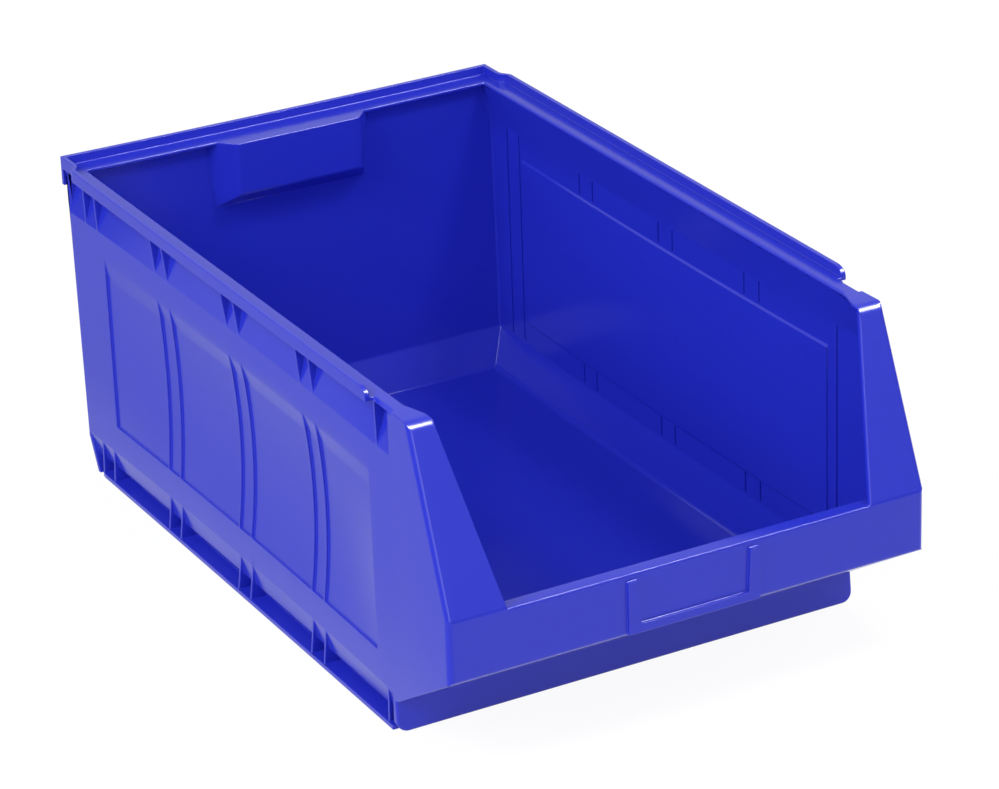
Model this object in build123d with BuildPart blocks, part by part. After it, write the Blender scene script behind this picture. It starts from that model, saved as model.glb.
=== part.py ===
"""Open-front stacking storage bin: one moulding, modelled whole and then divided into its named zones."""

import os

from build123d import *

# Overall size: over the side lips, from the label rails to the rear lip, and from base to lip
width = 310.0
length = 503.8
height = 206.4

# Moulding thicknesses
wall = 3.0
floor = 3.0
rib = 1.8

# Stacking rim
rim_depth = 7.7
lip_height = 5.7
lip = 3.0
lip_end_radius = 5.0
lip_end_setback = 83.0
rear_skirt = 10.7
lip_clearance = 0.3
side_ledge = 15.5
rear_ledge = 17.0
corner_jog = 4.5
jog_start = 28.0
jog_length = 9.0

# Side and rear walls
skin_inset = 4.0
neck_inset = 8.5
shoulder_drop = 26.0
sill_height = 24.0
sill_inset = 12.0
rear_inset_top = 8.0
rear_inset_sill = 11.5

# Base plate and front foot
base_rear_radius = 12.0
base_front_radius = 2.5
foot_setback = 69.0
foot_height = 20.0
foot_return = 6.0
foot_radius = 6.5

# Front band, mouth and posts
band_bottom = 62.3
band_top = 98.7
band_shelf = 9.5
band_corner = 3.5
front_flare = 2.7
post_setback = 41.0
post_foot_width = 34.5
post_top_width = 15.0

# Stiffening ribs stand in pairs
rib_pairs = 5
pair_gap = 16.3
first_rib_setback = 64.7
last_rib_margin = 21.3

# Dished side panel, its edges given as margins from the skin's own edges
panel_front = 93.0
panel_rear_margin = 45.0
panel_low_margin = 19.0
panel_high_margin = 17.0
panel_depth = 1.3
panel_dish = 4.0

# Finger grip in the rear wall
grip_half_front = 43.0
grip_half_rear = 57.5
grip_taper = 6.0
grip_reach = 16.5
grip_face_drop = 34.4
grip_slope_drop = 11.5

# Label holder on the front band
label_half = 42.2
label_rail = 6.6
label_rail_spread = 1.6
label_depth = 2.0
label_bottom = 63.5
label_top = 94.5
label_sill_height = 4.4

# Levels and planes worked out from the sizes above
ledge_top = height - lip_height
rim_under = height - rim_depth
shoulder = rim_under - shoulder_drop
skin_half = width / 2 - skin_inset
front_half = skin_half + front_flare
neck_half = skin_half - neck_inset
sill_half = skin_half - sill_inset
base_half = width / 2 - lip - lip_clearance
ledge_half = width / 2 - side_ledge
inner_half = skin_half - wall
rear_face = length / 2
band_face = label_depth - length / 2
foot_face = band_face + foot_setback
foot_back = foot_face + wall
cheek_back = band_face + first_rib_setback - rib / 2
lip_front = band_face + lip_end_setback
base_front = foot_face + foot_return
rear_top = rear_face - rear_inset_top
rear_sill = rear_face - rear_inset_sill
rear_foot = rear_sill - sill_inset
ledge_rear = rear_face - rear_ledge
shelf_back = band_face + band_shelf
ramp_top = band_bottom + 2 * wall
post_slope = post_setback / (ledge_top - band_top)
grip_root = rear_top - wall
grip_face = grip_root - grip_reach
grip_face_low = ledge_top - grip_face_drop
grip_low = grip_face_low - grip_slope_drop
grip_zone_back = grip_root - wall / 4
beyond = 2 * height

mitre_run = rear_top - rear_foot + 2 * wall
panel_start = band_face + panel_front
panel_rear = rear_sill - panel_rear_margin

mouth_bottom_half = skin_half - post_foot_width
mouth_top_half = skin_half - post_top_width

last_rib_start = rear_sill - last_rib_margin - pair_gap
pair_pitch = (last_rib_start - band_face - first_rib_setback) / (rib_pairs - 1)
rib_starts = [band_face + first_rib_setback + pair * pair_pitch for pair in range(rib_pairs)]
rib_places = sorted(rib_starts + [start + pair_gap for start in rib_starts])
sill_rib_places = [place for place in rib_places if place > base_front]


def box_between(low, high, mode=Mode.ADD):
    """A block between two opposite corners."""
    size = [b - a for a, b in zip(low, high)]
    middle = [(a + b) / 2 for a, b in zip(low, high)]
    with Locations(tuple(middle)):
        Box(*size, mode=mode)


def stacked_sections(levels, front):
    """A ruled body through rectangles, each level being height, half width and rear."""
    sections = []
    for level, half, rear in levels:
        with BuildSketch(Plane.XY.offset(level)) as section:
            with Locations((0, (front + rear) / 2)):
                Rectangle(2 * half, rear - front)
        sections.append(section.sketch)
    loft(sections, ruled=True)


def front_outline(shrink=0):
    """The moulding seen from the side: all that lies behind the foot, ramp, band and posts."""
    top = height + wall
    with BuildSketch(Plane.YZ) as outline:
        with BuildLine():
            Polyline(
                (foot_face, -beyond),
                (foot_face, foot_height),
                (band_face, band_bottom),
                (band_face, band_top),
                (band_face + post_slope * (top - band_top), top),
                (rear_face + beyond, top),
                (rear_face + beyond, -beyond),
                close=True,
            )
        make_face()
        if shrink:
            offset(amount=-shrink, kind=Kind.INTERSECTION, mode=Mode.REPLACE)
    return outline.sketch


def rim_outline(level, inset, front):
    """The rim's plan outline, which steps in before each rear corner."""
    half = width / 2 - inset
    jog_front = rear_face - jog_start
    jog_rear = jog_front + jog_length
    with BuildSketch(Plane.XY.offset(level)) as outline:
        with BuildLine():
            Polyline((0, front), (half, front), (half, jog_front))
            Spline((half, jog_front), (half - corner_jog, jog_rear), tangents=((0, 1), (0, 1)))
            Polyline(
                (half - corner_jog, jog_rear),
                (half - corner_jog, rear_face - inset),
                (0, rear_face - inset),
            )
            mirror(about=Plane.YZ)
        make_face()
    return outline.sketch


def front_plan(level, inset, back):
    """The flared front seen from above, back to a chosen line."""
    flared = front_half - inset
    straight = skin_half - inset
    with BuildSketch(Plane.XY.offset(level)) as plan:
        with BuildLine():
            Polyline(
                (-straight, back),
                (-straight, cheek_back),
                (-flared, band_face),
                (flared, band_face),
                (straight, cheek_back),
                (straight, back),
                close=True,
            )
        make_face()
    return plan.sketch


def dish_profile(start, depth, outer, margin=0):
    """Section of a side panel's hollow: a shallow arc between the panel's low and high edges."""
    low = sill_height + panel_low_margin - margin
    high = shoulder - panel_high_margin + margin
    edge = skin_half - depth
    with BuildSketch(Plane.XZ.offset(-start)) as profile:
        with BuildLine():
            ThreePointArc((edge, low), (edge - panel_dish, (low + high) / 2), (edge, high))
            Polyline((edge, high), (outer, high), (outer, low), (edge, low))
        make_face()
        mirror(about=Plane.YZ)
    return profile.sketch


def grip_side(back, top, shrink):
    """The finger grip seen from the side, back to a chosen line and up to a chosen level."""
    with BuildSketch(Plane.YZ) as side:
        with BuildLine():
            Polyline(
                (grip_face, top + beyond),
                (grip_face, grip_face_low),
                (grip_root, grip_low),
                (rear_face + beyond, grip_low),
                (rear_face + beyond, top + beyond),
                close=True,
            )
        make_face()
        if shrink:
            offset(amount=-shrink, kind=Kind.INTERSECTION, mode=Mode.REPLACE)
        with Locations(((back - beyond), top - beyond)):
            Rectangle(2 * beyond, 2 * beyond, mode=Mode.INTERSECT)
    return side.sketch


def grip_plan(level, half_rear, shrink):
    """The finger grip seen from above at one level, with its slanted sides."""
    spread = (half_rear - grip_half_front) / (grip_root - grip_face)
    half_back = half_rear + spread * wall
    with BuildSketch(Plane.XY.offset(level)) as plan:
        with BuildLine():
            Polyline(
                (grip_half_front, grip_face),
                (half_back, grip_root + wall),
                (half_back, rear_face + beyond),
                (-half_back, rear_face + beyond),
                (-half_back, grip_root + wall),
                (-grip_half_front, grip_face),
                close=True,
            )
        make_face()
        if shrink:
            offset(amount=-shrink, kind=Kind.INTERSECTION, mode=Mode.REPLACE)
    return plan.sketch


def grip_taper_body(shrink):
    """The space between the grip's sides, which draw in towards the bottom."""
    low = grip_plan(grip_low, grip_half_rear - grip_taper, shrink)
    high = grip_plan(ledge_top, grip_half_rear, shrink)
    with BuildPart() as body:
        loft([low, high], ruled=True)
    return body.part


# The room inside the bin
with BuildPart() as front_room:
    extrude(front_plan(floor, wall, foot_back + wall), amount=rim_under - floor)
    box_between((-width, cheek_back, shoulder), (width, length, height), mode=Mode.SUBTRACT)

with BuildPart() as cavity:
    stacked_sections(
        [
            (floor, sill_half - wall, rear_foot - wall),
            (floor + sill_height, inner_half, rear_sill - wall),
            (shoulder + rib, inner_half, rear_top - wall),
            (rim_under, neck_half - wall, rear_top - wall),
        ],
        cheek_back,
    )
    add(front_room.part)
    extrude(front_outline(wall), amount=width, both=True, mode=Mode.INTERSECT)

# The finger grip's block, and the pocket hollowed out of it from behind
with BuildPart() as grip_block:
    extrude(grip_side(grip_root + wall / 2, ledge_top, 0), amount=width, both=True)
    add(grip_taper_body(0), mode=Mode.INTERSECT)
with BuildPart() as grip_hollow:
    extrude(grip_side(rear_face, rim_under, wall), amount=width, both=True)
    add(grip_taper_body(wall), mode=Mode.INTERSECT)

# The whole moulding
with BuildPart() as moulding:
    # Tub with its drawn-in sill and its shoulder under the rim
    stacked_sections(
        [
            (0, sill_half, rear_foot),
            (sill_height, skin_half, rear_sill),
            (shoulder, skin_half, rear_top),
            (rim_under, neck_half, rear_top),
        ],
        cheek_back,
    )
    # Rear wall across the full width, which closes the channels of both sides
    with BuildSketch(Plane.YZ):
        with BuildLine():
            Polyline(
                (rear_foot, 0),
                (rear_sill, sill_height),
                (rear_top, shoulder),
                (rear_top, rim_under),
                (rear_top - wall, rim_under),
                (rear_top - wall, shoulder),
                (rear_sill - wall, sill_height),
                (rear_foot - wall, 0),
                close=True,
            )
        make_face()
    extrude(amount=skin_half, both=True)

    # Flared front up to the ledge, and the ledge between the posts and the lips
    extrude(front_plan(0, 0, cheek_back + rib), amount=ledge_top)
    box_between((-skin_half, cheek_back, rim_under), (skin_half, lip_front + lip, ledge_top))

    # Base plate, whose edge stands out as a skid, and the foot across its front
    with BuildSketch():
        with Locations((0, (base_front + rear_foot) / 2)):
            plate = Rectangle(2 * base_half, rear_foot - base_front)
        plate_corners = plate.vertices().group_by(Axis.Y)
        fillet(plate_corners[0], radius=base_front_radius)
        fillet(plate_corners[-1], radius=base_rear_radius)
    extrude(amount=floor)
    with BuildSketch(Plane.XZ.offset(-cheek_back)):
        with Locations((0, sill_height / 2)):
            foot = Rectangle(2 * skin_half, sill_height)
        fillet(foot.vertices().group_by(Axis.Y)[0], radius=foot_radius)
    extrude(amount=cheek_back - base_front)

    # Foot, ramp, band and post fronts
    extrude(front_outline(), amount=width, both=True, mode=Mode.INTERSECT)
    band_corners = (
        moulding.edges().filter_by(Axis.Z).filter_by_position(Axis.Y, band_face - rib, band_face + rib)
    )
    fillet(band_corners, radius=band_corner)

    # Stacking rim: a ledge with an upright lip round its outside
    extrude(rim_outline(rim_under, 0, lip_front), amount=rim_depth)
    extrude(rim_outline(ledge_top, lip, cheek_back - beyond), amount=lip_height, mode=Mode.SUBTRACT)
    lip_ends = (
        moulding.edges()
        .filter_by(Axis.X)
        .filter_by_position(Axis.Z, height - rib, height + rib)
        .filter_by_position(Axis.Y, lip_front - rib, lip_front + rib)
    )
    fillet(lip_ends, radius=lip_end_radius)

    # Hollow out, open the top inside the ledge and open the mouth between the posts
    add(cavity.part, mode=Mode.SUBTRACT)
    with BuildSketch(Plane.XY.offset(rim_under)):
        front_edge = band_face + post_setback + wall
        with Locations((0, (front_edge + ledge_rear) / 2)):
            top_opening = Rectangle(2 * ledge_half, ledge_rear - front_edge)
    extrude(amount=rim_depth, mode=Mode.SUBTRACT)
    with BuildSketch(Plane.XZ.offset(-band_face)):
        with BuildLine():
            Polyline(
                (-mouth_bottom_half, band_top),
                (mouth_bottom_half, band_top),
                (mouth_top_half, ledge_top),
                (mouth_top_half, ledge_top + wall),
                (-mouth_top_half, ledge_top + wall),
                (-mouth_top_half, ledge_top),
                close=True,
            )
        make_face()
    extrude(amount=-(post_setback + 2 * wall), mode=Mode.SUBTRACT)

    # Shelf along the top of the front band, which ends inside the flared cheeks
    shelf_half = front_half - wall / 2
    box_between((-shelf_half, band_face + wall, band_top - wall), (shelf_half, shelf_back, band_top))

    # Finger grip: a pocket that stands into the bin and opens at the back, under the ledge
    add(grip_block.part)
    add(grip_hollow.part, mode=Mode.SUBTRACT)

    # Dished side panels with their rib pairs
    panel_ribs = [place for place in rib_places if panel_start < place < panel_rear]
    stops = [panel_start] + panel_ribs + [panel_rear]
    extrude(
        dish_profile(panel_start - wall, panel_depth + wall, inner_half, margin=wall),
        amount=panel_start - panel_rear - 2 * wall,
    )
    extrude(
        dish_profile(panel_start, 0, skin_half + rib), amount=panel_start - panel_rear, mode=Mode.SUBTRACT
    )
    for start, stop in zip(stops, stops[1:]):
        begin = start if start == panel_start else start + rib / 2
        end = stop if stop == panel_rear else stop - rib / 2
        extrude(dish_profile(begin, panel_depth, skin_half + rib), amount=begin - end, mode=Mode.SUBTRACT)


# Paired ribs stand in the two channels, under the rim and above the skid, flush with the skin
def rib_blocks(low, high, inner, places):
    """Ribs of the right side's channel between two levels, less all that the moulding already fills."""
    with Locations(*[((inner + skin_half) / 2, place, (low + high) / 2) for place in places]):
        Box(skin_half - inner, rib, high - low)
    add(moulding.part, mode=Mode.SUBTRACT)
    add(cavity.part, mode=Mode.SUBTRACT)


with BuildPart() as right_rim_ribs:
    rib_blocks(shoulder, rim_under, neck_half - wall / 2, rib_places)

with BuildPart() as right_sill_ribs:
    rib_blocks(floor, sill_height, sill_half, sill_rib_places)

# The zones. Each is the moulding cut back to its own space, so that neighbours meet face to face
with BuildPart() as floor_pan:
    add(moulding.part)
    box_between((-width, -length, 0), (width, length, floor), mode=Mode.INTERSECT)

with BuildPart() as rear_rim:
    add(moulding.part)
    box_between((-width, -length, rim_under), (width, length, height), mode=Mode.INTERSECT)
    for side in (-1, 1):
        low, high = sorted((side * ledge_half / 2, side * width))
        box_between((low, -length, 0), (high, ledge_rear, height + lip), mode=Mode.SUBTRACT)
    rear_half = width / 2 - corner_jog
    box_between((-rear_half, rear_face - wall, rim_under - rear_skirt), (rear_half, rear_face, rim_under))

with BuildPart() as right_rim:
    add(moulding.part)
    box_between((ledge_half / 2, -length, rim_under), (width, ledge_rear, height), mode=Mode.INTERSECT)

with BuildPart() as walls:
    add(moulding.part)
    box_between((-width, -length, floor), (width, length, rim_under), mode=Mode.INTERSECT)

with BuildPart() as front_foot:
    add(walls.part)
    box_between((-width, foot_face, floor), (width, foot_back, foot_height), mode=Mode.INTERSECT)

with BuildPart() as front_band:
    add(walls.part)
    box_between((-width, band_face, band_bottom), (width, shelf_back, band_top), mode=Mode.INTERSECT)

with BuildPart() as front_ramp:
    add(walls.part)
    box_between((-inner_half, band_face, foot_height), (inner_half, foot_back, ramp_top), mode=Mode.INTERSECT)
    box_between((-width, -length, band_bottom), (width, shelf_back, height), mode=Mode.SUBTRACT)

with BuildPart() as right_front_post:
    add(walls.part)
    box_between((0, -length, band_top), (inner_half, cheek_back, rim_under), mode=Mode.INTERSECT)

with BuildPart() as right_front_cheek:
    add(walls.part)
    box_between((inner_half, -length, floor), (width, cheek_back, rim_under), mode=Mode.INTERSECT)
    box_between((0, -length, band_bottom), (width, shelf_back, band_top), mode=Mode.SUBTRACT)

with BuildPart() as rear:
    add(walls.part)
    with BuildSketch(Plane.XY):
        with BuildLine():
            Polyline(
                (skin_half - mitre_run, rear_top - mitre_run),
                (skin_half + mitre_run, rear_top + mitre_run),
                (-skin_half - mitre_run, rear_top + mitre_run),
                (-skin_half + mitre_run, rear_top - mitre_run),
                close=True,
            )
        make_face()
    extrude(amount=height, mode=Mode.INTERSECT)
    box_between((-width, -length, grip_low - wall), (width, grip_zone_back, height), mode=Mode.SUBTRACT)

with BuildPart() as rear_sill_zone:
    add(rear.part)
    box_between((-width, -length, floor), (width, length, sill_height), mode=Mode.INTERSECT)

with BuildPart() as rear_wall:
    add(rear.part)
    box_between((-width, -length, sill_height), (width, length, rim_under), mode=Mode.INTERSECT)

with BuildPart() as finger_grip:
    add(walls.part)
    box_between(
        (-grip_half_rear, grip_face, grip_low - wall),
        (grip_half_rear, grip_zone_back, height),
        mode=Mode.INTERSECT,
    )

with BuildPart() as right_side:
    add(walls.part)
    box_between((0, cheek_back, floor), (width, length, rim_under), mode=Mode.INTERSECT)
    box_between((0, cheek_back, floor), (width, foot_back, foot_height), mode=Mode.SUBTRACT)
    box_between((0, cheek_back, floor), (inner_half, foot_back, ramp_top), mode=Mode.SUBTRACT)
    with BuildSketch(Plane.XY):
        with BuildLine():
            Polyline(
                (skin_half - mitre_run, rear_top - mitre_run),
                (skin_half + mitre_run, rear_top + mitre_run),
                (-width, rear_top + mitre_run),
                (-width, rear_top - mitre_run),
                close=True,
            )
        make_face()
    extrude(amount=height, mode=Mode.SUBTRACT)

with BuildPart() as right_sill:
    add(right_side.part)
    box_between((0, -length, floor), (width, length, sill_height), mode=Mode.INTERSECT)

with BuildPart() as right_side_wall:
    add(right_side.part)
    box_between((0, -length, sill_height), (width, length, shoulder), mode=Mode.INTERSECT)

with BuildPart() as right_shoulder:
    add(right_side.part)
    box_between((0, -length, shoulder), (width, length, rim_under), mode=Mode.INTERSECT)

# Label holder on the band: two upright rails that widen downwards, and the sill between them
with BuildPart() as right_label_rail:
    with BuildSketch(Plane.XZ.offset(-band_face)):
        with BuildLine():
            Polyline(
                (label_half, label_bottom),
                (label_half, label_top),
                (label_half - label_rail, label_top),
                (label_half - label_rail - label_rail_spread, label_bottom),
                close=True,
            )
        make_face()
    extrude(amount=label_depth)

with BuildPart() as label_sill:
    with BuildSketch(Plane.XZ.offset(-band_face)):
        with Locations((0, label_bottom + label_sill_height / 2)):
            Rectangle(2 * label_half, label_sill_height)
    extrude(amount=label_depth)
    add(right_label_rail.part, mode=Mode.SUBTRACT)
    add(right_label_rail.part.mirror(Plane.YZ), mode=Mode.SUBTRACT)

pieces = {
    "floor_pan": floor_pan.part,
    "front_foot": front_foot.part,
    "front_ramp": front_ramp.part,
    "front_band": front_band.part,
    "label_sill": label_sill.part,
    "rear_sill": rear_sill_zone.part,
    "rear_wall": rear_wall.part,
    "finger_grip": finger_grip.part,
    "rear_rim": rear_rim.part,
}
for name, piece in (
    ("rim", right_rim.part),
    ("rim_ribs", right_rim_ribs.part),
    ("shoulder", right_shoulder.part),
    ("side_wall", right_side_wall.part),
    ("sill", right_sill.part),
    ("sill_ribs", right_sill_ribs.part),
    ("front_post", right_front_post.part),
    ("front_cheek", right_front_cheek.part),
    ("label_rail", right_label_rail.part),
):
    pieces[f"right_{name}"] = piece
    pieces[f"left_{name}"] = piece.mirror(Plane.YZ)

os.makedirs("parts", exist_ok=True)
for name, piece in pieces.items():
    piece.label = name
    export_step(piece, f"parts/{name}.step")
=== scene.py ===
import math

import bmesh
import bpy
from mathutils import Matrix, Vector


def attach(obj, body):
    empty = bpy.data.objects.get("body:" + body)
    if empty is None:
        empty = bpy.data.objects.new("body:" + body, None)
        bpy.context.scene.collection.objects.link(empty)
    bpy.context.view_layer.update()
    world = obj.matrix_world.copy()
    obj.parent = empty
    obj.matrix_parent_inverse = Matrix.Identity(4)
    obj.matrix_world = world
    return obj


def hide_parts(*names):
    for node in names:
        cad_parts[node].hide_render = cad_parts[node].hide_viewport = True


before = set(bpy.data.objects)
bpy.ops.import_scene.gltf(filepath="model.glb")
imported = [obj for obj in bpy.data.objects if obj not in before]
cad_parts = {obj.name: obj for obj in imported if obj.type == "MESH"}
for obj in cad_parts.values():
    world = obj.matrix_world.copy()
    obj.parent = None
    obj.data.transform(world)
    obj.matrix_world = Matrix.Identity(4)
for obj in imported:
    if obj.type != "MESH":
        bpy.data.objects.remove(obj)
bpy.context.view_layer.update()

MM = 0.001
X, Y, Z = 0, 1, 2               # across the bin, from its front to its rear, and up

# Driving sizes of the moulding, in millimetres, in the same frame as the CAD
HALF = 155.0                    # half the width over the side lips
SKIN = 151.0                    # half the width over the side walls
NECK = 142.5                    # the same where the walls meet the rim
SILL = 139.0                    # the same where the walls meet the base plate
BASE = 151.7                    # half the width of the base plate
WALL = 3.0
INSIDE = SKIN - WALL
RIB = 1.8
TOP = 206.4                     # height of the lip's top
LEDGE = 200.7                   # height of the stacking ledge
RIM_UNDER = 198.7               # height of the ledge's underside
SHOULDER = 172.7                # height at which the walls start to draw in under the rim
SILL_TOP = 24.0                 # height at which the walls start to draw in above the base plate
REAR = 251.9                    # outer face of the rear lip
BAND = -249.9                   # face of the front band
REAR_TOP = 243.9                # rear wall under the rim
REAR_SILL = 240.4               # rear wall where it starts to draw in
REAR_FOOT = 228.4               # rear wall where it meets the base plate
LEDGE_HALF = 139.5
LEDGE_REAR = REAR - 17.0
CREASE = BAND + 63.8            # where the flared front meets the straight sides
LIP_FRONT = BAND + 83.0
FOOT_FACE = BAND + 69.0
FOOT_TOP = 20.0
FOOT_RADIUS = 6.5
FOOT_ROUNDING = 1.5
BASE_FRONT = FOOT_FACE + 6.0
FLARE = 2.7                     # how far the front stands out beyond the side walls
BAND_LOW, BAND_HIGH = 62.3, 98.7
SHELF_BACK = BAND + 9.5
POST_RUN = 41.0                 # how far the posts lean back
POST_SLOPE = POST_RUN / (LEDGE - BAND_HIGH)
MOUTH_LOW, MOUTH_HIGH = 116.5, 136.0
JOG = 4.5                       # the rim steps in before each rear corner
JOG_START, JOG_END = REAR - 28.0, REAR - 19.0
SKIRT_LOW = 188.0
GRIP_HALF_FRONT, GRIP_HALF_REAR, GRIP_TAPER = 43.0, 57.5, 6.0
GRIP_FACE = REAR_TOP - WALL - 16.5
GRIP_FACE_LOW = LEDGE - 34.4
GRIP_LOW = GRIP_FACE_LOW - 11.5
LABEL_DEPTH = 2.0
PANEL_FRONT, PANEL_REAR = BAND + 93.0, REAR_SILL - 45.0
PANEL_LOW, PANEL_HIGH = 43.0, 155.7
PANEL_DEPTH = 1.3
PAIR_GAP = 16.3                 # between the two ribs of a pair
RIB_PITCH = 97.0                # from one pair to the next
RIB_STARTS = [BAND + 64.7 + RIB_PITCH * pair for pair in range(5)]
RIB_PLACES = sorted(RIB_STARTS + [start + PAIR_GAP for start in RIB_STARTS])
FAR = 400.0                     # beyond the bin on every side
CLEAR = 1.0                     # how far a cut runs past the face that it opens
HAIR = 0.01                     # a slight overlap, and the tolerance of a cutting plane


# Outlines and forms
def rectangle(low, high):
    """The four corners of an upright outline."""
    return [(low[0], low[1]), (high[0], low[1]), (high[0], high[1]), (low[0], high[1])]


def arc(middle, radii, start, stop, steps=6):
    """Points along part of an ellipse, its ends given in degrees."""
    turns = [math.radians(start + (stop - start) * step / steps) for step in range(steps + 1)]
    return [(middle[0] + radii[0] * math.cos(turn), middle[1] + radii[1] * math.sin(turn)) for turn in turns]


def inset(points, amount):
    """An open outline moved to its left by an amount, its corners kept sharp."""
    moved = []
    lines = [(Vector(b) - Vector(a)).normalized() for a, b in zip(points, points[1:])]
    for index, point in enumerate(points):
        before = lines[max(index - 1, 0)]
        after = lines[min(index, len(lines) - 1)]
        left = Vector((-before.y, before.x)) + Vector((-after.y, after.x))
        moved.append(tuple(Vector(point) + left * (2 * amount / left.length_squared)))
    return moved


def prism(outline, axis, low, high):
    """Push a flat outline along one axis. Its points give the other two axes, in order."""
    form = bmesh.new()
    first, second = [index for index in (X, Y, Z) if index != axis]
    corners = []
    for point in outline:
        place = Vector((0, 0, 0))
        place[first], place[second] = point
        place[axis] = low
        corners.append(form.verts.new(place))
    form.faces.new(corners)
    run = Vector((0, 0, 0))
    run[axis] = high - low
    pushed = bmesh.ops.extrude_face_region(form, geom=form.faces[:])["geom"]
    far_corners = [part for part in pushed if isinstance(part, bmesh.types.BMVert)]
    bmesh.ops.translate(form, vec=run, verts=far_corners)
    bmesh.ops.recalc_face_normals(form, faces=form.faces[:])
    return form


def block(low, high):
    """A box between two opposite corners."""
    return prism(rectangle(low[:2], high[:2]), Z, low[2], high[2])


def stack(levels, front):
    """A body through rectangles, each level being height, half width and rear."""
    form = bmesh.new()
    level, half, rear = levels[0]
    face = form.faces.new([form.verts.new((x, y, level)) for x, y in rectangle((-half, front), (half, rear))])
    for step, (level, half, rear) in enumerate(levels[1:]):
        grown = bmesh.ops.extrude_face_region(form, geom=[face])["geom"]
        if step > 0:
            bmesh.ops.delete(form, geom=[face], context="FACES_ONLY")
        face = next(part for part in grown if isinstance(part, bmesh.types.BMFace))
        middle = face.calc_center_median().y
        for vert in face.verts:
            vert.co = (math.copysign(half, vert.co.x), rear if vert.co.y > middle else front, level)
    bmesh.ops.recalc_face_normals(form, faces=form.faces[:])
    return form


def gathered(forms):
    """Several separate forms as one tool."""
    mesh = bpy.data.meshes.new("gathered")
    whole = bmesh.new()
    for form in forms:
        form.to_mesh(mesh)
        form.free()
        whole.from_mesh(mesh)
    bpy.data.meshes.remove(mesh)
    return whole


def both_sides(form):
    """A form on the right and its mirror image on the left."""
    mirrored = form.copy()
    bmesh.ops.scale(mirrored, vec=(-1, 1, 1), verts=mirrored.verts[:])
    bmesh.ops.recalc_face_normals(mirrored, faces=mirrored.faces[:])
    return gathered([form, mirrored])


def object_from(form, name):
    """A form as an object of its own."""
    mesh = bpy.data.meshes.new(name)
    form.to_mesh(mesh)
    form.free()
    made = bpy.data.objects.new(name, mesh)
    bpy.context.collection.objects.link(made)
    return made


def form_from(made):
    """The form of an object, which is then removed."""
    mesh = made.data
    form = bmesh.new()
    form.from_mesh(mesh)
    bpy.data.objects.remove(made)
    bpy.data.meshes.remove(mesh)
    return form


def apply_modifiers(piece):
    """Bake a piece's modifiers into its mesh."""
    shaped = bpy.data.meshes.new_from_object(piece.evaluated_get(bpy.context.evaluated_depsgraph_get()))
    piece.modifiers.clear()
    old, piece.data = piece.data, shaped
    bpy.data.meshes.remove(old)


def work(piece, operation, form):
    """Join a form to the piece, cut it away, or keep only what lies in both."""
    tool = object_from(form, "tool")
    modifier = piece.modifiers.new("work", "BOOLEAN")
    modifier.operation = operation
    modifier.solver = "EXACT"
    modifier.object = tool
    apply_modifiers(piece)
    old = tool.data
    bpy.data.objects.remove(tool)
    bpy.data.meshes.remove(old)


# The bin's own outlines
def side_outline(amount=0):
    """The bin seen from the side: foot, ramp, band and leaning posts, with all behind them."""
    top = TOP + WALL
    front = [
        (BAND + POST_SLOPE * (top - BAND_HIGH), top),
        (BAND, BAND_HIGH),
        (BAND, BAND_LOW),
        (FOOT_FACE, FOOT_TOP),
        (FOOT_FACE, -FAR),
    ]
    return inset(front, amount) + [(FAR, -FAR), (FAR, top)]


def front_plan(amount, back):
    """The flared front seen from above, back to a chosen line."""
    half = SKIN - amount
    left = [(-half, back), (-half, CREASE), (-half - FLARE, BAND)]
    right = [(half + FLARE, BAND), (half, CREASE), (half, back)]
    return left + right


def rim_plan(amount, front):
    """The rim seen from above, which steps in with a soft curve before each rear corner."""
    half = HALF - amount
    steps = 6
    right = [(half, front)]
    for step in range(steps + 1):
        share = step / steps
        eased = share * share * (3 - 2 * share)
        right.append((half - JOG * eased, JOG_START + (JOG_END - JOG_START) * share))
    right.append((half - JOG, REAR - amount))
    return right + [(-x, y) for x, y in reversed(right)]


def grip_form(amount, top, back):
    """The finger grip's block, or with an amount the pocket inside it."""
    root = REAR_TOP - WALL
    behind = REAR + FAR / 2
    spread = (GRIP_HALF_REAR - GRIP_HALF_FRONT) / (root - GRIP_FACE)

    def plan(half_rear):
        lean = Vector((half_rear - GRIP_HALF_FRONT, root - GRIP_FACE)).length / (root - GRIP_FACE)
        front_half = GRIP_HALF_FRONT + spread * amount - lean * amount
        return front_half, half_rear + spread * WALL - lean * amount

    form = bmesh.new()
    rings = []
    for level, half_rear in ((GRIP_LOW, GRIP_HALF_REAR - GRIP_TAPER), (LEDGE, GRIP_HALF_REAR)):
        front_half, back_half = plan(half_rear)
        outline = [
            (-front_half, GRIP_FACE + amount), (front_half, GRIP_FACE + amount), (back_half, root + WALL),
            (back_half, behind), (-back_half, behind), (-back_half, root + WALL),
        ]
        rings.append([form.verts.new((x, y, level)) for x, y in outline])
    form.faces.new(rings[0])
    form.faces.new(rings[1])
    bmesh.ops.bridge_loops(form, edges=form.edges[:])
    bmesh.ops.recalc_face_normals(form, faces=form.faces[:])
    body = object_from(form, "grip")
    underside = [(behind, GRIP_LOW), (root, GRIP_LOW), (GRIP_FACE, GRIP_FACE_LOW), (GRIP_FACE, FAR)]
    work(body, "INTERSECT", prism(inset(underside, -amount) + [(behind, FAR)], X, -HALF, HALF))
    work(body, "INTERSECT", block((-HALF, 0, 0), (HALF, back, top)))
    return form_from(body)


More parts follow.
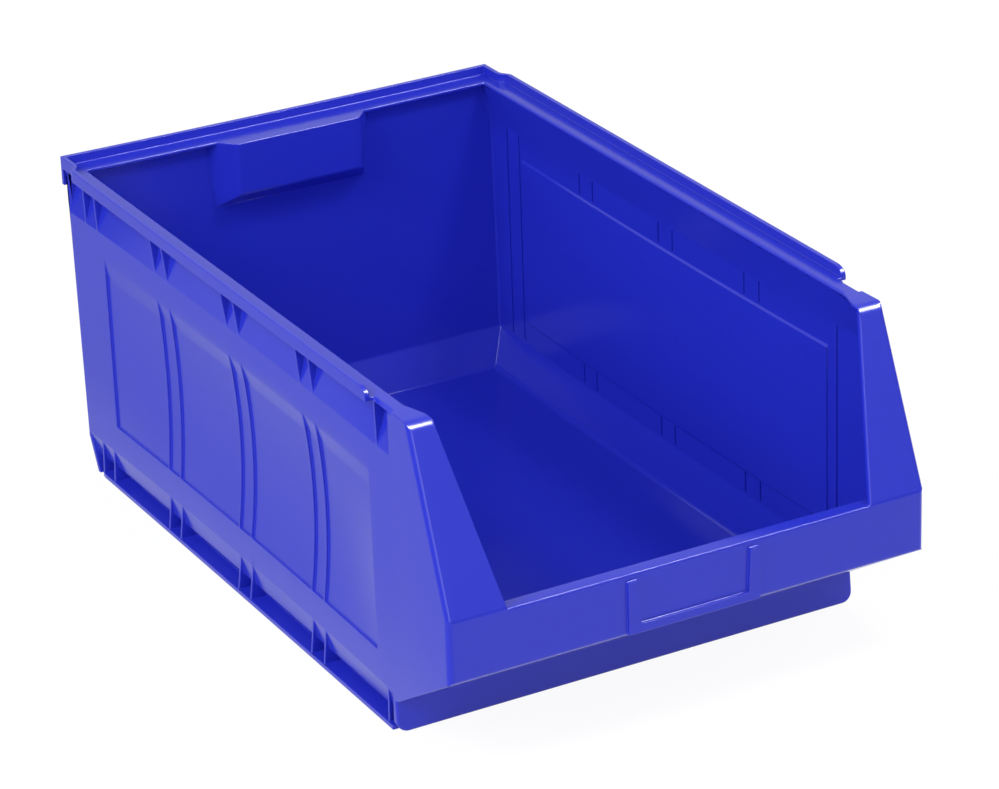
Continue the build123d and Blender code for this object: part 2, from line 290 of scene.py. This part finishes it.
# The moulding, zone by zone
def tub(piece):
    """Walls drawn in at the sill and under the rim, the flared front, the base plate and the foot."""
    plate_radius, plate_steps = 12, 6
    rear_wall = [
        (REAR_FOOT, 0), (REAR_SILL, SILL_TOP), (REAR_TOP, SHOULDER), (REAR_TOP, RIM_UNDER),
        (REAR_TOP - WALL, RIM_UNDER), (REAR_TOP - WALL, SHOULDER), (REAR_SILL - WALL, SILL_TOP),
        (REAR_FOOT - WALL, 0),
    ]
    work(piece, "UNION", prism(rear_wall, X, -SKIN, SKIN))
    work(piece, "UNION", prism(front_plan(0, CREASE + RIB), Z, 0, LEDGE))
    work(piece, "UNION", block((-SKIN, CREASE, RIM_UNDER), (SKIN, LIP_FRONT + WALL, LEDGE)))
    plate = block((-BASE, BASE_FRONT, 0), (BASE, REAR_FOOT, WALL))
    rear_corners = [
        edge for edge in plate.edges
        if all(vert.co.y > 0 for vert in edge.verts) and edge.verts[0].co.z != edge.verts[1].co.z
    ]
    bmesh.ops.bevel(plate, geom=rear_corners, offset=plate_radius, segments=plate_steps, profile=0.5,
                    affect="EDGES", material=-1)
    work(piece, "UNION", plate)
    corner = arc((SKIN - FOOT_RADIUS, FOOT_RADIUS), (FOOT_RADIUS, FOOT_RADIUS), -90, 0)
    right = corner + [(SKIN, SILL_TOP)]
    work(piece, "UNION", prism(right + [(-x, z) for x, z in reversed(right)], Y, CREASE, BASE_FRONT))
    work(piece, "INTERSECT", prism(side_outline(), X, -FAR, FAR))


def rim(piece):
    """The stacking rim: a ledge with an upright lip outside it, and the skirt behind."""
    run, drop = 8.5, 5.2                    # of the curve at each lip's front end
    ring = object_from(prism(rim_plan(0, LIP_FRONT), Z, RIM_UNDER, TOP), "rim")
    work(ring, "DIFFERENCE", prism(rim_plan(WALL, LIP_FRONT - FAR), Z, LEDGE, TOP + WALL))
    curve = arc((LIP_FRONT + run, TOP - drop), (-run, drop), 0, 90)
    above = [(LIP_FRONT + run, TOP + WALL), (LIP_FRONT - WALL, TOP + WALL)]
    work(ring, "DIFFERENCE", prism([(LIP_FRONT - WALL, TOP - drop)] + curve + above, X, -FAR, FAR))
    work(piece, "UNION", form_from(ring))
    work(piece, "UNION", block((JOG - HALF, REAR - WALL, SKIRT_LOW), (HALF - JOG, REAR, RIM_UNDER + CLEAR)))
    shave, over = 2.4, 0.1                  # off the ledge's outer edge, in front of the lip
    shaved = [
        (SKIN - shave, LEDGE + over),
        (SKIN + CLEAR, LEDGE + over - shave - CLEAR),
        (SKIN + CLEAR, LEDGE + over),
    ]
    work(piece, "DIFFERENCE", both_sides(prism(shaved, Y, CREASE - WALL, LIP_FRONT)))


def room(piece):
    """Hollow the tub and open its top and its mouth."""
    turn = SHOULDER + RIB
    slope = (INSIDE - LEDGE_HALF) / (LEDGE - turn)

    def half_at(level):
        return INSIDE - slope * (level - turn)

    neck = half_at(RIM_UNDER)
    hollow = object_from(stack([
        (WALL, SILL - WALL, REAR_FOOT - WALL),
        (SILL_TOP + WALL, INSIDE, REAR_SILL - WALL),
        (turn, INSIDE, REAR_TOP - WALL),
        (RIM_UNDER, neck, REAR_TOP - WALL),
    ], CREASE), "hollow")
    front = object_from(prism(front_plan(WALL, FOOT_FACE + 2 * WALL), Z, WALL, RIM_UNDER), "front")
    work(front, "DIFFERENCE", block((-FAR, CREASE, SHOULDER), (FAR, FAR, FAR)))
    # The walls' slope under the rim runs on to the front, and fills the corner behind each post's top
    eave = [
        (neck, RIM_UNDER + CLEAR), (neck, RIM_UNDER), (INSIDE, turn), (FAR, turn), (FAR, RIM_UNDER + CLEAR),
    ]
    work(front, "DIFFERENCE", both_sides(prism(eave, Y, BAND, CREASE + CLEAR)))
    work(hollow, "UNION", form_from(front))
    work(hollow, "INTERSECT", prism(side_outline(WALL), X, -FAR, FAR))
    work(piece, "DIFFERENCE", form_from(hollow))

    opening_low = RIM_UNDER - HAIR
    opening = [(opening_low, neck, LEDGE_REAR), (TOP, half_at(TOP), LEDGE_REAR)]
    work(piece, "DIFFERENCE", stack(opening, CREASE))
    post_back = BAND + POST_RUN + 8         # where the opening starts to widen behind the posts
    between_posts = [
        (-LEDGE_HALF, CREASE + CLEAR), (-LEDGE_HALF, CREASE - WALL), (-MOUTH_HIGH, post_back),
        (MOUTH_HIGH, post_back), (LEDGE_HALF, CREASE - WALL), (LEDGE_HALF, CREASE + CLEAR),
    ]
    work(piece, "DIFFERENCE", prism(between_posts, Z, opening_low, TOP))
    mouth = [
        (-MOUTH_LOW, BAND_HIGH), (MOUTH_LOW, BAND_HIGH), (MOUTH_HIGH, LEDGE), (MOUTH_HIGH, TOP),
        (-MOUTH_HIGH, TOP), (-MOUTH_HIGH, LEDGE),
    ]
    work(piece, "DIFFERENCE", prism(mouth, Y, BAND - CLEAR, post_back + CLEAR))
    shelf = SKIN + FLARE - WALL / 2
    work(piece, "UNION", block((-shelf, BAND + WALL / 2, BAND_HIGH - WALL), (shelf, SHELF_BACK, BAND_HIGH)))


def finger_grip(piece):
    """The pocket that stands into the bin and opens at the back, under the ledge."""
    work(piece, "UNION", grip_form(0, LEDGE, REAR_TOP - WALL / 2))
    work(piece, "DIFFERENCE", grip_form(WALL, RIM_UNDER, REAR - WALL - CLEAR))


def side_panels(piece):
    """The hollow in each side, crossed by rib pairs, and its raised back inside the bin."""
    deep = SKIN - PANEL_DEPTH
    raised = INSIDE - PANEL_DEPTH
    top_ease, front_ease = 12.0, 18.0       # how far the hollow runs out at its top and its front
    back = [
        (raised, PANEL_LOW + PANEL_DEPTH), (INSIDE + CLEAR, PANEL_LOW - CLEAR),
        (INSIDE + CLEAR, PANEL_HIGH + RIB + CLEAR), (raised, PANEL_HIGH + RIB - PANEL_DEPTH),
    ]
    work(piece, "UNION", both_sides(prism(back, Y, PANEL_FRONT - WALL, PANEL_REAR + WALL)))
    hollow = [
        (deep, PANEL_LOW), (SKIN + CLEAR, PANEL_LOW), (SKIN + CLEAR, PANEL_HIGH + CLEAR),
        (SKIN, PANEL_HIGH), (deep, PANEL_HIGH - top_ease),
    ]
    crossed = [place for place in RIB_PLACES if PANEL_FRONT < place < PANEL_REAR]
    stops = [PANEL_FRONT] + crossed + [PANEL_REAR]
    bays = []
    for start, stop in zip(stops, stops[1:]):
        begin = start if start == PANEL_FRONT else start + RIB / 2
        end = stop if stop == PANEL_REAR else stop - RIB / 2
        bay = prism(hollow, Y, begin, end)
        if start == PANEL_FRONT:
            for vert in bay.verts:
                if vert.co.y == begin and vert.co.x == deep:
                    vert.co.y += front_ease
        bays.append(bay)
    work(piece, "DIFFERENCE", both_sides(gathered(bays)))


def ribs(piece):
    """Pairs of ribs in the channels under the rim and above the base plate."""
    root, sill_root = 1.5, 0.5              # how deep the ribs stand in the walls
    high, low = RIM_UNDER + CLEAR, WALL - CLEAR
    upper = [(SKIN - root, SHOULDER), (SKIN, SHOULDER), (SKIN, high), (NECK - root, high)]
    lower = [(SKIN - root, SILL_TOP), (SKIN, SILL_TOP), (SKIN, low), (SILL - sill_root, low)]
    above_plate = [place for place in RIB_PLACES if place > BASE_FRONT]
    standing = [
        prism(outline, Y, place - RIB / 2, place + RIB / 2)
        for outline, places in ((upper, RIB_PLACES[1:]), (lower, above_plate)) for place in places
    ]
    work(piece, "UNION", both_sides(gathered(standing)))


def inner_grooves(piece):
    """Shallow grooves inside the walls, level with the ribs outside."""
    depth, half, above_sill = 1.0, 0.8, 1.8
    low, high = SILL_TOP + WALL + above_sill, SHOULDER
    cuts = []
    for place in RIB_PLACES[1:]:
        if PANEL_FRONT < place < PANEL_REAR:
            spans = [(low, PANEL_LOW - CLEAR), (PANEL_HIGH + RIB + CLEAR, high)]
        else:
            spans = [(low, high)]
        for bottom, top in spans:
            cuts.append(block((INSIDE - CLEAR, place - half, bottom), (INSIDE + depth, place + half, top)))
    work(piece, "DIFFERENCE", both_sides(gathered(cuts)))


def label_holder(piece):
    """Two upright rails that widen downwards, and the sill between them."""
    outer, rail, widening = 42.6, 6.5, 1.7
    high, sill = 94.5, 5.4
    rails = [(outer, BAND_LOW), (outer, high), (outer - rail, high), (outer - rail - widening, BAND_LOW)]
    work(piece, "UNION", both_sides(prism(rails, Y, BAND - LABEL_DEPTH, BAND + CLEAR)))
    work(piece, "UNION", block((rail - outer, BAND - LABEL_DEPTH, BAND_LOW),
                               (outer - rail, BAND + CLEAR, BAND_LOW + sill)))


# Rounding of the edges
def cleaned(piece):
    """Merge what the cuts left double and clear their flat leftovers."""
    double, flat = 0.02, math.radians(0.4)
    form = bmesh.new()
    form.from_mesh(piece.data)
    bmesh.ops.remove_doubles(form, verts=form.verts[:], dist=double)
    bmesh.ops.dissolve_limit(form, angle_limit=flat, verts=form.verts[:], edges=form.edges[:],
                             use_dissolve_boundaries=False, delimit=set())
    bmesh.ops.dissolve_degenerate(form, dist=double, edges=form.edges[:])
    form.to_mesh(piece.data)
    form.free()


def edge_radius(ends):
    """The radius of an edge, from where it lies. Both ends are given on the bin's right side."""
    slack = 0.3

    def at(axis, value):
        return all(abs(end[axis] - value) < slack for end in ends)

    def within(axis, low, high):
        return all(low < end[axis] < high for end in ends)

    def at_rib():
        return any(all(abs(end.y - place) < CLEAR for end in ends) for place in RIB_PLACES)

    on_post = within(Z, BAND_HIGH - CLEAR, LEDGE + slack) and all(
        abs(end.y - BAND - POST_SLOPE * (end.z - BAND_HIGH)) < slack for end in ends)
    at_ledge = at(Z, LEDGE)
    at_floor = at(Z, WALL)
    inner_corner = within(Y, REAR_SILL - WALL - CLEAR, REAR_TOP - WALL + CLEAR)

    # The first rule that an edge fits gives its radius
    rules = [
        # Where the posts' slope meets the ledge, the posts' outer edges and the band's ends
        (5.5, at_ledge and at(Y, BAND + POST_RUN)),
        (3.0, on_post and within(X, SKIN - 0.5, HALF)),
        (4.0, at(Y, BAND) and within(X, SKIN, HALF) and within(Z, BAND_LOW - CLEAR, BAND_HIGH + CLEAR)),
        # The posts' inner edges, and the band's upper and lower edges
        (1.2, on_post and within(X, MOUTH_LOW - CLEAR, MOUTH_HIGH + CLEAR) and not at(Z, BAND_HIGH)),
        (1.6, at(Y, BAND) and (at(Z, BAND_HIGH) or at(Z, BAND_LOW))),
        # The ledge's inner edge beside the room, behind the posts, and at the rear and the grip
        (2.5, at_ledge and at(X, LEDGE_HALF) and within(Y, CREASE - 0.5, REAR)),
        (1.0, at_ledge and within(X, MOUTH_HIGH - CLEAR, LEDGE_HALF + CLEAR)
            and within(Y, BAND + POST_RUN, CREASE + CLEAR)),
        (0.6, at_ledge and (at(Y, LEDGE_REAR) or at(Y, GRIP_FACE))),
        # The line inside at which the side walls draw in, and the rear lip
        (1.0, at(Z, SILL_TOP + WALL) and at(X, INSIDE)),
        (0.2, at(Z, TOP) and within(Y, LEDGE_REAR, REAR + CLEAR)),
        # The rear end of the floor, the label holder and the foot
        (1.0, at_floor and at(Y, REAR_FOOT - WALL)),
        (0.12, at(Y, BAND - LABEL_DEPTH) and within(Z, BAND_LOW + CLEAR, BAND_HIGH)),
        (FOOT_ROUNDING, at(Y, FOOT_FACE) and within(Z, -CLEAR, FOOT_TOP + CLEAR) and not at(Z, FOOT_TOP)),
        # The grooves inside the walls, and the rear corners outside and inside
        (0.12, within(X, INSIDE - 0.1, SKIN - 1.6) and within(Z, SILL_TOP + WALL + CLEAR, SHOULDER + CLEAR)
            and at_rib()),
        (2.0, within(X, SKIN - 0.5, SKIN + 0.5) and within(Y, REAR_SILL - CLEAR, REAR_TOP + CLEAR)),
        (2.5, at(X, INSIDE) and inner_corner and not at(Z, SILL_TOP + WALL)),
        # The sides of the floor, and the face of the grip
        (3.0, at_floor and within(X, -CLEAR, SILL - WALL + CLEAR) and within(Y, FOOT_FACE, REAR_FOOT)),
        (1.6, at(Y, GRIP_FACE) and within(Z, GRIP_FACE_LOW - CLEAR, LEDGE + CLEAR)
            and within(X, -CLEAR, GRIP_HALF_FRONT + CLEAR)),
        # Every other edge
        (0.45, True),
    ]
    return next(radius for radius, fits in rules if fits)


def rounded(piece):
    """Round every edge by its own radius."""
    largest, segments, sharp = 6.0, 3, math.radians(18)
    form = bmesh.new()
    form.from_mesh(piece.data)
    weight = form.edges.layers.float.new("bevel_weight_edge")
    for edge in form.edges:
        if edge.calc_face_angle(0) > sharp:
            ends = [Vector((abs(vert.co.x), vert.co.y, vert.co.z)) for vert in edge.verts]
            edge[weight] = edge_radius(ends) / largest
    form.to_mesh(piece.data)
    form.free()
    modifier = piece.modifiers.new("rounding", "BEVEL")
    modifier.limit_method = "WEIGHT"
    modifier.width = largest
    modifier.segments = segments
    modifier.use_clamp_overlap = False
    modifier.miter_outer = "MITER_ARC"
    apply_modifiers(piece)


# Facets, bowed walls and creases
def cut_across(form, place, normal):
    """Cut every face that a plane crosses, without parting the form."""
    bmesh.ops.bisect_plane(form, geom=form.verts[:] + form.edges[:] + form.faces[:],
                           plane_co=place, plane_no=normal, dist=HAIR)


def steps_between(low, high, count):
    """The places that divide a span into a number of equal strips."""
    return [low + (high - low) * step / count for step in range(1, count)]


def divided(form):
    """Cut the long faces into strips, so that the walls can bow."""
    along, up, across = 34, 14, 16          # strips each way
    for y in steps_between(CREASE, REAR, along):
        cut_across(form, (0, y, 0), (0, 1, 0))
    for z in steps_between(SILL_TOP, SHOULDER, up):
        cut_across(form, (0, 0, z), (0, 0, 1))
    for x in steps_between(-HALF, HALF, across):
        cut_across(form, (x, 0, 0), (1, 0, 0))


def hump(place, low, peak, high, power=2):
    """Rise from zero at low to one at the peak and fall to zero at high."""
    if not low < place < high:
        return 0.0
    side = (place - peak) / (low - peak if place < peak else high - peak)
    return 1 - side ** power


def between(value, low, high):
    """How far a value has come from low to high, as a share from nought to one."""
    return min(max((value - low) / (high - low), 0.0), 1.0)


def facet_line():
    """Where the facet on the foot's right end starts, and the way it leans."""
    reach = 30.4
    start, stop = Vector((SKIN - reach, 0, FOOT_TOP)), Vector((SKIN - FOOT_RADIUS, 0, 0))
    along = (stop - start).normalized()
    return start, Vector((-along.z, 0, along.x))


def beyond_facet_line(place):
    """How far a place lies beyond the line at which the facet on its end of the foot starts."""
    start, across = facet_line()
    return (Vector((abs(place.x), 0, place.z)) - start).dot(across)


def faceted(form):
    """Lean a shallow facet back across each end of the foot."""
    depth, near = 2.2, 0.1
    start, across = facet_line()
    slope = depth / beyond_facet_line(Vector((SKIN, 0, FOOT_TOP)))
    for side in (-1, 1):
        cut_across(form, (side * start.x, 0, start.z), (side * across.x, 0, across.z))
    for vert in form.verts:
        beyond = beyond_facet_line(vert.co)
        on_face = FOOT_FACE - near < vert.co.y < FOOT_FACE + FOOT_ROUNDING + near
        if beyond > 0 and vert.co.z < FOOT_TOP + near and on_face:
            vert.co.y += slope * beyond


def filled_sills(form):
    """Fill out the side sills half way up, so that their upper part is steeper than the lower one."""
    half_way, filling = SILL_TOP / 2, 3.0
    near, reach = 0.05, 1.5
    middle = (SILL + SKIN) / 2
    cut_across(form, (0, 0, half_way), (0, 0, 1))
    for vert in form.verts:
        if abs(vert.co.z - half_way) < near and abs(abs(vert.co.x) - middle) < reach:
            vert.co.x += math.copysign(filling, vert.co.x)


def bowed(form):
    """Draw the long walls in as a cooled moulding does, and dish the side panels."""
    wall_bow, panel_dish, rear_bow = 3.4, 4.2, 2.0
    foot_share = 0.18                       # of the bow that is left where the walls meet the base plate
    still, free = 120, 134                  # the bow fades in between these half widths
    wall_middle = (CREASE + REAR_TOP) / 2
    panel_middle = BAND + 240
    rear_zone = LEDGE_REAR - 15
    for vert in form.verts:
        x, y, z = vert.co
        out = between(abs(x), still, free)
        held = foot_share + (1 - foot_share) * between(z, WALL, SILL_TOP)
        held *= 1 - between(z, SHOULDER, RIM_UNDER)
        inward = wall_bow * hump(y, CREASE, wall_middle, REAR_TOP) * held * out
        along = hump(y, PANEL_FRONT, panel_middle, PANEL_REAR, 4 if y < panel_middle else 2)
        inward += panel_dish * along * hump(z, PANEL_LOW, (PANEL_LOW + PANEL_HIGH) / 2, PANEL_HIGH) * out
        vert.co.x -= math.copysign(inward, x)
        if y > rear_zone:
            vert.co.y -= rear_bow * hump(x, -SKIN, 0, SKIN) * between(z, SILL_TOP, SHOULDER)


def creased(form):
    """Keep the faint creases sharp: on the foot, on the sills, and where the flared front starts."""
    near = 0.05

    def on_facet(place):
        beyond = beyond_facet_line(place)
        return abs(beyond) < near and abs(place.y - FOOT_FACE) < near and place.z < FOOT_TOP

    def on_flare(place):
        return abs(abs(place.x) - SKIN) < near and abs(place.y - CREASE) < near

    def on_sill(place):
        return abs(place.z - SILL_TOP / 2) < near and SILL < abs(place.x) < SKIN - 1

    creases = (on_facet, on_flare, on_sill)
    for edge in form.edges:
        edge.smooth = not any(all(lies(vert.co) for vert in edge.verts) for lies in creases)


def finish_moulding(piece):
    """Round, facet and bow the moulding, and bring it from millimetres to metres."""
    cleaned(piece)
    rounded(piece)
    form = bmesh.new()
    form.from_mesh(piece.data)
    faceted(form)
    filled_sills(form)
    divided(form)
    bowed(form)
    creased(form)
    bmesh.ops.scale(form, vec=(MM, MM, MM), verts=form.verts[:])
    for face in form.faces:
        face.smooth = True
    form.to_mesh(piece.data)
    form.free()
    weighted = piece.modifiers.new("flat_faces_stay_flat", "WEIGHTED_NORMAL")
    weighted.weight = 80
    weighted.keep_sharp = True


moulding = object_from(stack([
    (0, SILL, REAR_FOOT),
    (SILL_TOP, SKIN, REAR_SILL),
    (SHOULDER, SKIN, REAR_TOP),
    (RIM_UNDER, NECK, REAR_TOP),
], CREASE), "bin_moulding")
tub(moulding)
rim(moulding)
room(moulding)
finger_grip(moulding)
side_panels(moulding)
ribs(moulding)
inner_grooves(moulding)
label_holder(moulding)
finish_moulding(moulding)


# Materials
def srgb(code):
    """Turn a six-digit sRGB hex colour into the linear colour that a shader takes."""
    channels = [int(code[place:place + 2], 16) / 255 for place in (0, 2, 4)]
    linear = [c / 12.92 if c <= 0.04045 else ((c + 0.055) / 1.055) ** 2.4 for c in channels]
    return (*linear, 1.0)


def node(tree, kind, links=(), **settings):
    """Add a node, set its sockets and properties by name, and link its inputs."""
    made = tree.nodes.new(kind)
    for name, value in settings.items():
        label = name.replace("_", " ")
        if label in made.inputs:
            made.inputs[label].default_value = value
        else:
            setattr(made, name, value)
    for socket, source in links:
        tree.links.new(source, made.inputs[socket])
    return made


def per_mm(size):
    """The texture scale at which a pattern is about this many millimetres across."""
    return 1 / (size * MM)


def moulded_polypropylene():
    """Injection-moulded polypropylene copolymer, dyed through in ultramarine.

    The eye sees a deep even blue with a soft sheen that is never quite flat: the faint waves of a
    cooled wall, and the fine grain that a used steel mould leaves. The real grain is finer than the
    one drawn here, which has to be this coarse to show.
    """
    wave_width, wave_depth = 45, 0.25
    grain_width, grain_depth = 0.7, 0.004
    sheen_width = 60
    smoothest, roughest = 0.17, 0.23
    material = bpy.data.materials.new("moulded_polypropylene_blue")
    material.use_nodes = True
    tree = material.node_tree
    place = node(tree, "ShaderNodeTexCoord").outputs["Object"]
    waves = node(tree, "ShaderNodeTexNoise", [("Vector", place)], Scale=per_mm(wave_width), Detail=1.0)
    grain = node(tree, "ShaderNodeTexNoise", [("Vector", place)], Scale=per_mm(grain_width), Detail=2.0)
    sheen = node(tree, "ShaderNodeTexNoise", [("Vector", place)], Scale=per_mm(sheen_width), Detail=3.0)
    gloss = node(tree, "ShaderNodeMapRange", [("Value", sheen.outputs["Fac"])],
                 From_Min=0.3, From_Max=0.7, To_Min=smoothest, To_Max=roughest)
    swell = node(tree, "ShaderNodeBump", [("Height", waves.outputs["Fac"])],
                 Strength=1.0, Distance=wave_depth * MM)
    skin = node(tree, "ShaderNodeBump",
                [("Height", grain.outputs["Fac"]), ("Normal", swell.outputs["Normal"])],
                Strength=1.0, Distance=grain_depth * MM)
    shader = tree.nodes["Principled BSDF"]
    shader.inputs["Base Color"].default_value = srgb("242EBA")
    shader.inputs["IOR"].default_value = 1.49
    shader.inputs["Specular IOR Level"].default_value = 0.4
    tree.links.new(gloss.outputs["Result"], shader.inputs["Roughness"])
    tree.links.new(skin.outputs["Normal"], shader.inputs["Normal"])
    return material


moulding.data.materials.clear()
moulding.data.materials.append(moulded_polypropylene())
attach(moulding, "root")
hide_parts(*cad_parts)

# Camera, at the photograph's viewing angle
CAMERA_PLACE = Vector((-1.06743, -2.01828, 1.12503))
CAMERA_AZIMUTH = math.radians(-28.2547)
CAMERA_ELEVATION = math.radians(24.1444)
CAMERA_ROLL = math.radians(-2.0318)
LENS = 150.98
SENSOR = 36.0


def place_camera():
    """Put the camera where the photograph was taken from."""
    azimuth, elevation = CAMERA_AZIMUTH, CAMERA_ELEVATION
    back = Vector((math.sin(azimuth) * math.cos(elevation),
                   -math.cos(azimuth) * math.cos(elevation),
                   math.sin(elevation)))
    level = Vector((math.cos(azimuth), math.sin(azimuth), 0))
    upright = back.cross(level)
    right = level * math.cos(CAMERA_ROLL) + upright * math.sin(CAMERA_ROLL)
    up = back.cross(right)
    camera = bpy.data.objects.new("camera", bpy.data.cameras.new("camera"))
    camera.data.lens = LENS
    camera.data.sensor_width = SENSOR
    camera.matrix_world = Matrix.Translation(CAMERA_PLACE) @ Matrix((right, up, back)).transposed().to_4x4()
    bpy.context.collection.objects.link(camera)
    bpy.context.scene.camera = camera


place_camera()

# Studio, in metres
FLOOR_HALF = 1.1
LAMP_TARGET = Vector((0, 0, 0.1))


def either(tree, first, second):
    """The larger of two values, so that with yes and no it is yes when either is."""
    return node(tree, "ShaderNodeMath", [(0, first), (1, second)], operation="MAXIMUM").outputs[0]


def seen_directly(tree):
    """One for camera, glossy and transmission rays, and nought for the light that matt surfaces gather."""
    rays = node(tree, "ShaderNodeLightPath").outputs
    camera_or_glossy = either(tree, rays["Is Camera Ray"], rays["Is Glossy Ray"])
    return either(tree, camera_or_glossy, rays["Is Transmission Ray"])


def white_card():
    """Matt white card under the bin. It shows as plain white, with the bin's faint shadow on it.

    Its glow makes it plain white to the camera. Reflections find the same glow, which falls off to
    the bin's left as painted shade, standing in for the shaded, darker floor that the bin's left side
    mirrors.
    """
    glow, glow_in_painted_shade = 0.93, 0.5
    shade_deepest_x, shade_starts_x = -0.23, -0.13
    material = bpy.data.materials.new("white_card")
    material.use_nodes = True
    tree = material.node_tree
    tree.nodes.remove(tree.nodes["Principled BSDF"])
    card = node(tree, "ShaderNodeBsdfDiffuse", Color=srgb("E6E6E6"))
    shaded = node(tree, "ShaderNodeBsdfDiffuse", Color=srgb("505050"))
    place = node(tree, "ShaderNodeTexCoord").outputs["Object"]
    across = node(tree, "ShaderNodeSeparateXYZ", [(0, place)]).outputs["X"]
    # Painted shade: the glow that reflections find dims towards the bin's left, in place of the shade on the
    # floor beside the bin
    painted_floor_shade = node(tree, "ShaderNodeMapRange", [("Value", across)], interpolation_type="SMOOTHSTEP",
                   From_Min=shade_deepest_x, From_Max=shade_starts_x, To_Min=glow_in_painted_shade, To_Max=glow)
    to_camera = node(tree, "ShaderNodeLightPath").outputs["Is Camera Ray"]
    shine = node(tree, "ShaderNodeMapRange", [("Value", to_camera), ("To Min", painted_floor_shade.outputs["Result"])],
                 To_Max=glow)
    white = node(tree, "ShaderNodeEmission", [("Strength", shine.outputs["Result"])], Color=srgb("FFFFFF"))
    paper = node(tree, "ShaderNodeAddShader", [(0, shaded.outputs[0]), (1, white.outputs[0])])
    mixed = node(tree, "ShaderNodeMixShader",
                 [(0, seen_directly(tree)), (1, card.outputs[0]), (2, paper.outputs[0])])
    tree.links.new(mixed.outputs[0], tree.nodes["Material Output"].inputs["Surface"])
    return material


def add_floor():
    """Lay the card under the bin."""
    form = bmesh.new()
    bmesh.ops.create_grid(form, x_segments=1, y_segments=1, size=FLOOR_HALF)
    floor = object_from(form, "studio_floor")
    floor.data.materials.append(white_card())


add_floor()


def add_lamp(name, place, size, power, glint_only=False):
    """A soft lamp aimed at the bin. One that only glints shows as the white line on glossy edges."""
    lamp = bpy.data.lights.new(name, "AREA")
    lamp.shape = "RECTANGLE"
    lamp.size, lamp.size_y = size
    lamp.energy = power
    holder = bpy.data.objects.new(name, lamp)
    holder.visible_diffuse = not glint_only
    direction = LAMP_TARGET - Vector(place)
    holder.matrix_world = Matrix.Translation(place) @ direction.to_track_quat("-Z", "Y").to_matrix().to_4x4()
    bpy.context.collection.objects.link(holder)


add_lamp("left_softbox", (-1.6, -0.3, 1.4), (1.1, 1.1), 32)
add_lamp("right_softbox", (1.8, -0.1, 0.9), (1.2, 1.0), 12)
add_lamp("top_softbox", (0.55, -0.6, 1.5), (0.3, 0.3), 7)
add_lamp("glint_strip", (0.8, -0.65, 1.6), (0.9, 0.5), 55, glint_only=True)
add_lamp("front_softbox", (-0.5, -2.0, 0.9), (1.4, 1.0), 10)


def studio_world():
    """White to the camera, and soft light all round.

    Reflections find a dim room below the horizon, which brightens to a light backdrop above it.
    """
    soft_light = 0.45
    room_low, room_high = -0.05, 0.3        # heights of the direction between which it brightens
    dim, light = 0.12, 0.8
    world = bpy.data.worlds.new("studio_white")
    world.use_nodes = True
    tree = world.node_tree
    rays = node(tree, "ShaderNodeLightPath").outputs
    direction = node(tree, "ShaderNodeTexCoord").outputs["Generated"]
    height = node(tree, "ShaderNodeSeparateXYZ", [(0, direction)]).outputs["Z"]
    backdrop = node(tree, "ShaderNodeMapRange", [("Value", height)], interpolation_type="SMOOTHSTEP",
                    From_Min=room_low, From_Max=room_high, To_Min=dim, To_Max=light)
    around = node(tree, "ShaderNodeMix",
                  [("Factor", rays["Is Glossy Ray"]), ("B", backdrop.outputs["Result"])], A=soft_light)
    through = either(tree, rays["Is Camera Ray"], rays["Is Transmission Ray"])
    background = tree.nodes["Background"]
    background.inputs["Color"].default_value = srgb("FFFFFF")
    tree.links.new(either(tree, around.outputs["Result"], through), background.inputs["Strength"])
    bpy.context.scene.world = world


studio_world()
bpy.context.scene.view_settings.view_transform = "Standard"
